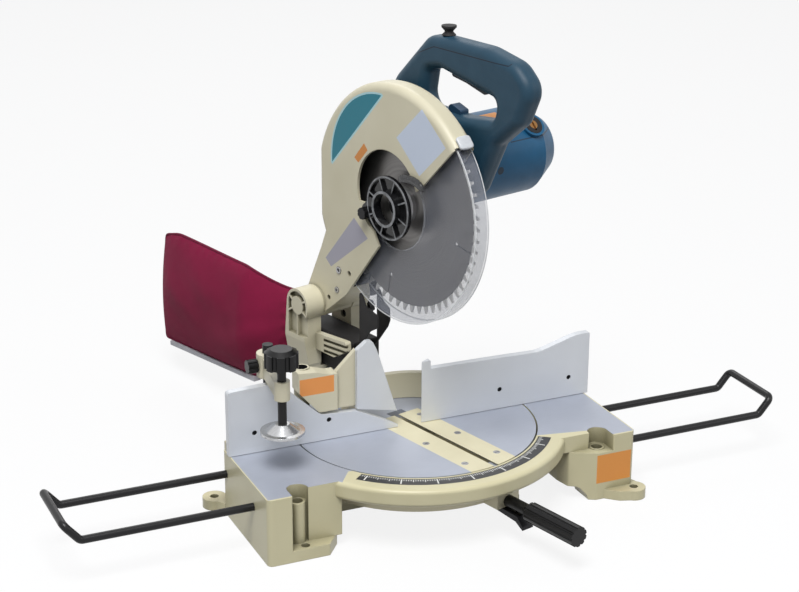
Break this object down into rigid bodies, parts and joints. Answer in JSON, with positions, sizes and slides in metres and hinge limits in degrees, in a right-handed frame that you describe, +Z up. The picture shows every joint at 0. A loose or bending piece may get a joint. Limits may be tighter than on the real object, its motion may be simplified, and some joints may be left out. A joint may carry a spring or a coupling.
{
  "type": "mitre saw",
  "caption": "Bench mitre saw: round blade in a case that swings down on a hinged arm, on a turning table with fences, vise, dust bag and wire work supports.",
  "frame": {"origin": "on the bench plane straight below the table pivot, in line with the fence faces", "axes": "+X to the right along the fence, +Y to the back, +Z up"},
  "size_m": [0.891, 0.7397, 0.553],
  "materials": {
    "cream_paint": "satin",
    "machined": "milled",
    "scale_black": "satin",
    "steel": "ground",
    "dark_steel": "black oxide",
    "bright_steel": "polished",
    "black_wire": "gloss black",
    "black_plastic": "moulded",
    "ivory_plastic": "moulded",
    "navy_plastic": "moulded",
    "blue_plastic": "moulded",
    "grey_cast": "cast",
    "clear_plastic": "clear",
    "smoke_plastic": "moulded",
    "rubber": "moulded",
    "red_cloth": "woven",
    "pale_plastic": "moulded",
    "blade_steel": "ground"
  },
  "bodies": {
    "base": {"base_casting": "cream_paint", "mitre_scale": "scale_black", "guide_fence": "machined", "fence_bolts": "dark_steel", "sub_fence_pin": "steel", "wire_screws": "black_plastic", "rod_screw": "black_plastic", "pivot_bolt": "steel"},
    "flap": {"sub_fence": "cream_paint"},
    "left_holder": {"left_wire": "black_wire"},
    "right_holder": {"right_wire": "black_wire"},
    "vise_post": {"vise_rod": "dark_steel"},
    "vise_boom": {"vise_arm": "cream_paint"},
    "boom_knob": {"vise_arm_knob": "black_plastic"},
    "vise_foot": {"vise_disc": "bright_steel"},
    "vise_spindle": {"vise_screw": "black_plastic"},
    "table": {"turntable": "machined", "kerf_board_left": "ivory_plastic", "kerf_board_right": "ivory_plastic", "board_screws": "steel", "bevel_pin": "steel"},
    "clamp_grip": {"grip": "black_plastic"},
    "stop_lever": {"lock_lever": "dark_steel"},
    "arm": {"bevel_arm": "cream_paint", "hinge_pin": "steel", "torsion_spring": "dark_steel", "dust_chute": "rubber", "dust_bag": "red_cloth", "bag_clip": "pale_plastic"},
    "bevel_clamp": {"bevel_lever": "black_plastic"},
    "carry_pin": {"stopper_pin": "dark_steel"},
    "head": {"blade_case": "cream_paint", "case_screws": "steel", "cover_screw": "dark_steel", "gear_housing": "grey_cast", "motor_housing": "blue_plastic", "brush_caps": "black_plastic", "handle_left": "navy_plastic", "handle_right": "navy_plastic", "cord_gland": "rubber"},
    "hub_cover": {"centre_cover": "smoke_plastic"},
    "spindle": {"blade": "blade_steel", "inner_flange": "steel", "outer_flange": "steel", "arbor": "steel", "arbor_bolt": "dark_steel"},
    "guard": {"lower_guard": "clear_plastic"},
    "switch": {"trigger": "black_plastic"},
    "lock_off": {"lock_off_button": "black_plastic"}
  },
  "joints": [
    {"name": "mitre_turn", "type": "hinge", "parent": "base", "child": "table", "pos_m": [0, 0, 0.08], "axis": [0, 0, -1], "range_deg": [-37, 60]},
    {"name": "bevel_tilt", "type": "hinge", "parent": "table", "child": "arm", "pos_m": [0, 0, 0.08], "axis": [0.2588, -0.9659, 0], "range_deg": [0, 45]},
    {"name": "head_swing", "type": "hinge", "parent": "arm", "child": "head", "pos_m": [-0.0427, 0.15938, 0.192], "axis": [-0.9659, -0.2588, 0], "range_deg": [-46, 0], "stiffness_Nm_per_rad": 10, "springref_deg": 103.13},
    {"name": "guard_turn", "type": "hinge", "parent": "head", "child": "guard", "pos_m": [-0.00518, 0.01932, 0.346], "axis": [0.9659, 0.2588, 0], "range_deg": [-118.5, 0]},
    {"name": "blade_spin", "type": "hinge", "parent": "head", "child": "spindle", "pos_m": [-0.00518, 0.01932, 0.346], "axis": [0.9659, 0.2588, 0], "continuous": true},
    {"name": "cover_swing", "type": "hinge", "parent": "head", "child": "hub_cover", "pos_m": [-0.01553, 0.05796, 0.331], "axis": [0.9659, 0.2588, 0], "range_deg": [0, 100]},
    {"name": "trigger_press", "type": "hinge", "parent": "head", "child": "switch", "pos_m": [0.04125, -0.02104, 0.507], "axis": [-0.9659, -0.2588, 0], "range_deg": [0, 7], "stiffness_Nm_per_rad": 0.6, "springref_deg": -11.46},
    {"name": "lock_off_press", "type": "slide", "parent": "head", "child": "lock_off", "axis": [0, 0, -1], "range_m": [0, 0.0035], "stiffness_N_per_m": 600, "springref_m": -0.004},
    {"name": "grip_turn", "type": "hinge", "parent": "table", "child": "clamp_grip", "pos_m": [0.05176, -0.19318, 0.0446], "axis": [0.2588, -0.9659, 0], "range_deg": [0, 180]},
    {"name": "stop_lever_press", "type": "hinge", "parent": "table", "child": "stop_lever", "pos_m": [0.03054, -0.11398, 0.046], "axis": [0.9659, 0.2588, 0], "range_deg": [0, 8], "stiffness_Nm_per_rad": 1, "springref_deg": -17.19},
    {"name": "bevel_lever_turn", "type": "hinge", "parent": "table", "child": "bevel_clamp", "pos_m": [-0.05176, 0.19318, 0.08], "axis": [0.2588, -0.9659, 0], "range_deg": [0, 60]},
    {"name": "carry_pin_push", "type": "slide", "parent": "arm", "child": "carry_pin", "axis": [-0.9659, -0.2588, 0], "range_m": [0, 0.01]},
    {"name": "vise_post_lift", "type": "slide", "parent": "base", "child": "vise_post", "axis": [0, 0, 1], "range_m": [0, 0.02]},
    {"name": "vise_boom_swing", "type": "hinge", "parent": "vise_post", "child": "vise_boom", "pos_m": [-0.174, 0.02, 0.175], "axis": [0, 0, -1], "range_deg": [-30, 40]},
    {"name": "boom_knob_turn", "type": "hinge", "parent": "vise_boom", "child": "boom_knob", "pos_m": [-0.194, 0.02, 0.178], "axis": [-1, 0, 0], "range_deg": [0, 180]},
    {"name": "vise_feed", "type": "slide", "parent": "vise_boom", "child": "vise_foot", "axis": [0, 0, 1], "range_m": [-0.0145, 0.018]},
    {"name": "vise_screw_turn", "type": "hinge", "parent": "vise_foot", "child": "vise_spindle", "pos_m": [-0.18388, -0.05031, 0.2], "axis": [0, 0, 1], "range_deg": [-2612, 3242]},
    {"name": "flap_swing", "type": "hinge", "parent": "base", "child": "flap", "pos_m": [-0.134, 0.019, 0.14], "axis": [0, 0, 1], "range_deg": [0, 135]},
    {"name": "left_holder_pull", "type": "slide", "parent": "base", "child": "left_holder", "axis": [-1, 0, 0], "range_m": [-0.022, 0.012]},
    {"name": "right_holder_pull", "type": "slide", "parent": "base", "child": "right_holder", "axis": [1, 0, 0], "range_m": [-0.022, 0.012]}
  ],
  "couplings": [
    {"joint": "guard_turn", "follows": "head_swing", "ratio": 2.565},
    {"joint": "vise_screw_turn", "follows": "vise_feed", "rad_per_m": 3141.6}
  ]
}
